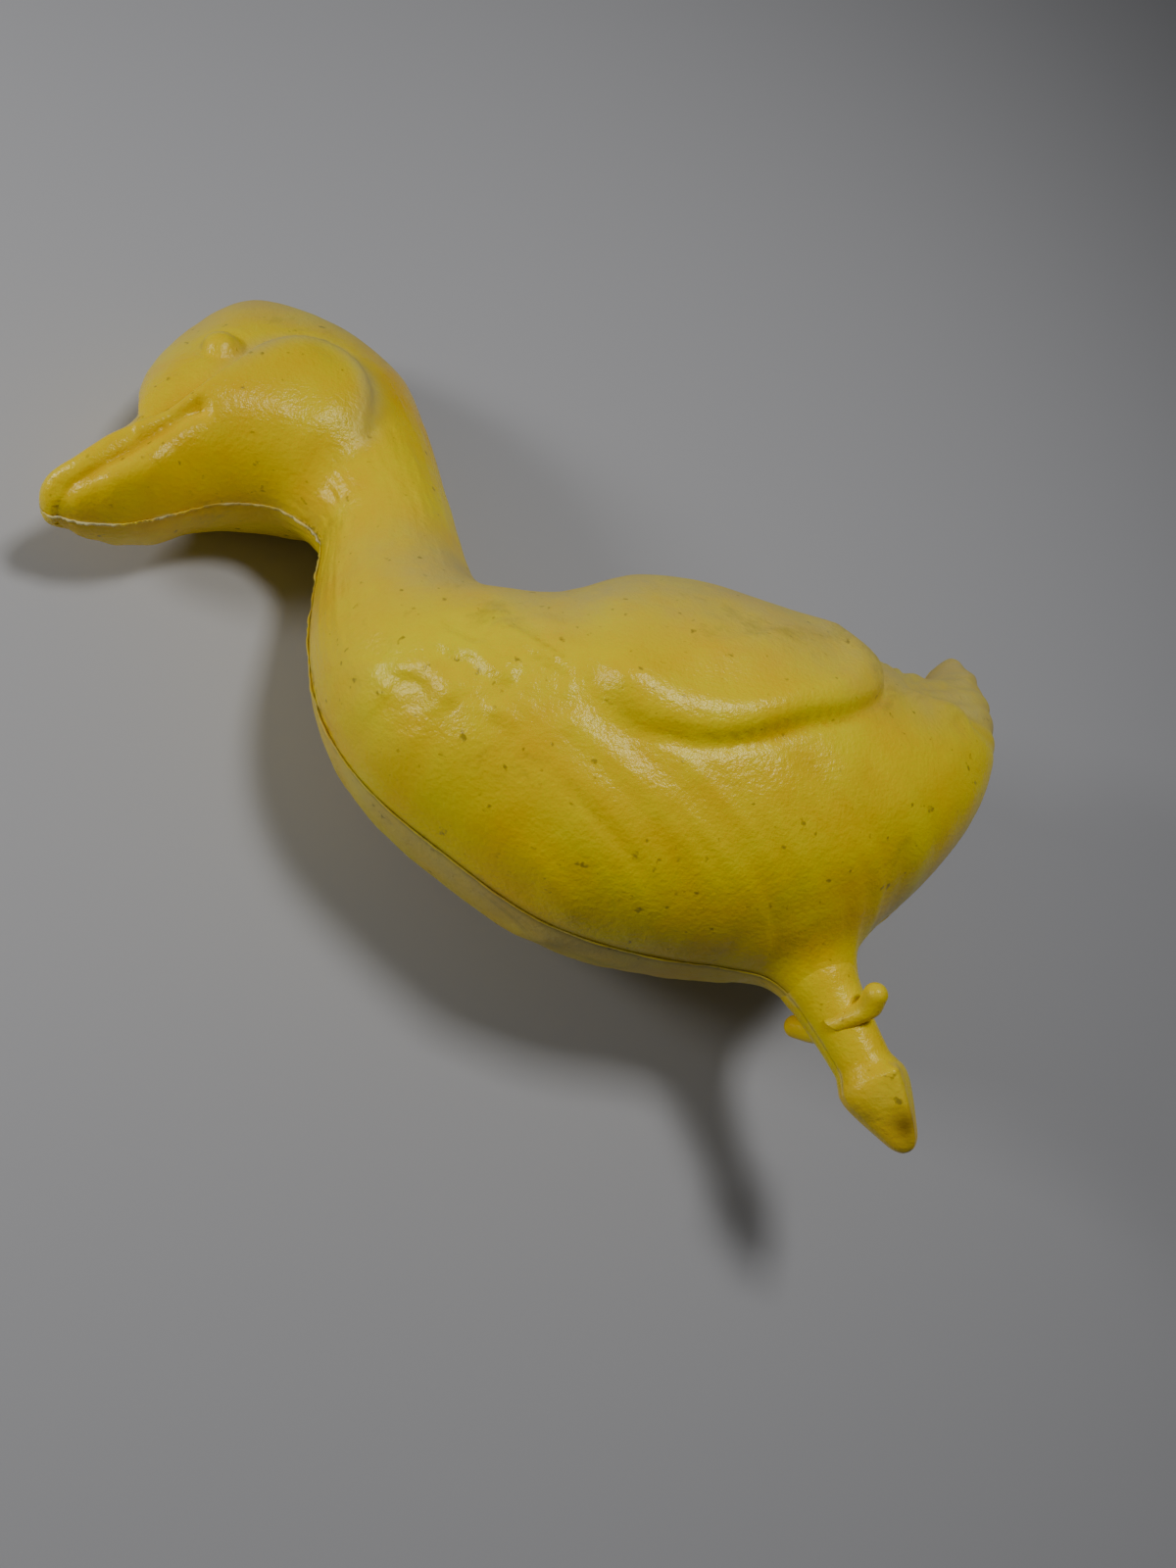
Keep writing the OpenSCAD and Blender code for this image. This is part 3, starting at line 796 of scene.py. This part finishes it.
# %% Yellow rubber
def yellow_rubber():
    """Moulded vinyl rubber: saturated yellow, a leathery grain, and grey-beige dust."""
    material, tree = new_material("moulded_yellow_rubber")
    place = add(tree, "ShaderNodeTexCoord").outputs["Object"]
    value = {}
    for name, (scale, detail, rough, bent) in RUBBER_NOISE.items():
        cloud = add(tree, "ShaderNodeTexNoise", Vector=place, Scale=scale, Detail=detail,
                    Roughness=rough, Distortion=bent)
        value[name] = cloud.outputs["Fac"]
    for name, (low, high, to_low, to_high) in RUBBER_SPREAD.items():
        spread = add(tree, "ShaderNodeMapRange", Value=value[name], From_Min=low, From_Max=high,
                     To_Min=to_low, To_Max=to_high)
        value[name] = spread.outputs["Result"]
    # two of these marks carry painted shade: the deeper yellow in the creases and dents, and the
    # dark spot for the hole under the bill
    for name in ("hollow", "fade", "edge", "grime_and_hole_shade", "stain"):
        mark = add(tree, "ShaderNodeAttribute", {"attribute_name": name})
        value[name] = mark.outputs["Fac"]
    dust = add(tree, "ShaderNodeMath", {"operation": "MULTIPLY"}, i0=value["fade"],
               i1=value["patch"])
    value["dust"] = dust.outputs[0]

    tone = add(tree, "ShaderNodeValToRGB", Fac=value["tone"])
    low, high = tone.color_ramp.elements
    low.position, low.color = 0.3, srgb("#FFD000")
    high.position, high.color = 0.7, srgb("#FFEA00")
    colour = tone.outputs["Color"]
    for code, where, strength in RUBBER_LAYERS:
        share = add(tree, "ShaderNodeMath", {"operation": "MULTIPLY"}, i0=value[where],
                    i1=value.get(strength, strength))
        over = add(tree, "ShaderNodeMix", {"data_type": "RGBA"}, Factor=share.outputs[0],
                   i6=colour, i7=srgb(code))
        colour = over.outputs[2]

    gloss = add(tree, "ShaderNodeMapRange", Value=value["dust"], To_Min=0.27, To_Max=0.62)
    fine = add(tree, "ShaderNodeBump", Height=value["grain"], Strength=0.5, Distance=0.0004)
    shader = add(tree, "ShaderNodeBsdfPrincipled", Base_Color=colour, IOR=1.5,
                 Roughness=gloss.outputs["Result"], Normal=fine.outputs["Normal"],
                 Specular_Tint=srgb("#FFF6C0"), Subsurface_Weight=0.12,
                 Subsurface_Radius=(1.0, 0.55, 0.1), Subsurface_Scale=0.002)
    add(tree, "ShaderNodeOutputMaterial", Surface=shader.outputs["BSDF"])
    return material


rubber = yellow_rubber()
rubber_pieces = (skin_left, skin_right, leg_left, leg_right, toe_left, toe_right,
                 flash_front, flash_back)
for piece in rubber_pieces:
    piece.data.materials.append(rubber)
print(len(rubber.node_tree.nodes), "nodes in the rubber's finish")

# %% [markdown]
# The squeaker's hard parts are moulded in cheap off-white plastic, and its reed is a thin strip
# of clear film gone grey. They keep the frame's own shapes, so only their finish is made here.

# %% Squeaker plastic
def squeaker_plastic(name, code, roughness):
    """Injection-moulded plastic: a tone that shifts over 3 mm, and a 0.25 mm mould grain."""
    material, tree = new_material(name)
    place = add(tree, "ShaderNodeTexCoord").outputs["Object"]
    cloud = add(tree, "ShaderNodeTexNoise", Vector=place, Scale=300.0, Detail=3.0)
    tone = add(tree, "ShaderNodeValToRGB", Fac=cloud.outputs["Fac"])
    base = np.array(srgb(code)[:3])
    tone.color_ramp.elements[0].color = (*(base * 0.85).tolist(), 1)
    tone.color_ramp.elements[1].color = (*base.tolist(), 1)
    grain = add(tree, "ShaderNodeTexNoise", Vector=place, Scale=4000.0, Detail=2.0)
    fine = add(tree, "ShaderNodeBump", Height=grain.outputs["Fac"], Strength=0.2,
               Distance=0.0001)
    shader = add(tree, "ShaderNodeBsdfPrincipled", Roughness=roughness,
                 Base_Color=tone.outputs["Color"], Normal=fine.outputs["Normal"])
    add(tree, "ShaderNodeOutputMaterial", Surface=shader.outputs["BSDF"])
    return material


plastic = squeaker_plastic("moulded_squeaker_plastic", "#DAD7CC", 0.45)
film = squeaker_plastic("reed_film", "#9CA2A6", 0.25)
for name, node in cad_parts.items():
    finish = film if name == "squeaker_reed" else plastic
    node.data.materials.clear()
    node.data.materials.append(finish)
print("carried over from the frame:", sorted(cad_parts))

# %% [markdown]
# ## Which pieces follow a body, and which frame pieces are hidden
# The skins run over the neck without a cut. The skins and the legs keep their places with their
# transforms baked in and no parent, and the frame's own skin and leg pieces are hidden. The toes
# are short and stiff enough to follow the leg as they are.

# %% Bodies
sides = (("left", skin_left, leg_left, toe_left), ("right", skin_right, leg_right, toe_right))
for side, skin, leg, toe in sides:
    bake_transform(skin)
    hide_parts(f"body_skin_{side}", f"head_skin_{side}")
    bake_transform(leg)
    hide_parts(f"leg_{side}")
    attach(toe, "leg")

for strip in (flash_front, flash_back):
    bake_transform(strip)

# %% [markdown]
# ## The studio
# A pale floor and two square soft lights: a window up to the right and a weaker lamp far to
# the left, as the highlights on the wing and the breast ask for. The lights are kept low,
# because the picture's tone curve washes a bright yellow out.

# %% Floor and lights
def floor_plane():
    """A wide pale floor, just under the duck."""
    mesh = bpy.data.meshes.new("floor")
    half = 3.0
    corners = [(-half, -half, 0), (half, -half, 0), (half, half, 0), (-half, half, 0)]
    mesh.from_pydata(corners, [], [(0, 1, 2, 3)])
    floor = bpy.data.objects.new("floor", mesh)
    bpy.context.collection.objects.link(floor)
    material, tree = new_material("pale_floor")
    shader = add(tree, "ShaderNodeBsdfPrincipled", Base_Color=srgb("#BDBDC0"), Roughness=0.85)
    add(tree, "ShaderNodeOutputMaterial", Surface=shader.outputs["BSDF"])
    floor.data.materials.append(material)


def soft_light(name, seen_from, size, watts):
    """A square soft light at a place given in camera axes, in mm, facing the duck."""
    light = bpy.data.objects.new(name, bpy.data.lights.new(name, "AREA"))
    light.data.energy, light.data.size = watts, size
    place = lay_down(seen @ (np.array(seen_from) - origin_seen))
    target = lay_down([0, 20, 0])
    back = place - target
    back /= np.linalg.norm(back)
    right = np.cross([0, 0, 1.0], back)
    right /= np.linalg.norm(right)
    up = np.cross(back, right)
    matrix = np.eye(4)
    matrix[:3, :] = np.stack([right, up, back, place], axis=1)
    light.matrix_world = Matrix(matrix.tolist())
    bpy.context.collection.objects.link(light)


floor_plane()
soft_light("window", (230, 260, 120), 0.10, 1.02)
soft_light("lamp", (-330, 170, 60), 0.10, 0.70)
world = bpy.data.worlds.new("studio")
bpy.context.scene.world = world
world.use_nodes = True
background = world.node_tree.nodes["Background"]
background.inputs["Color"].default_value = srgb("#E8EAEE")
background.inputs["Strength"].default_value = 0.05
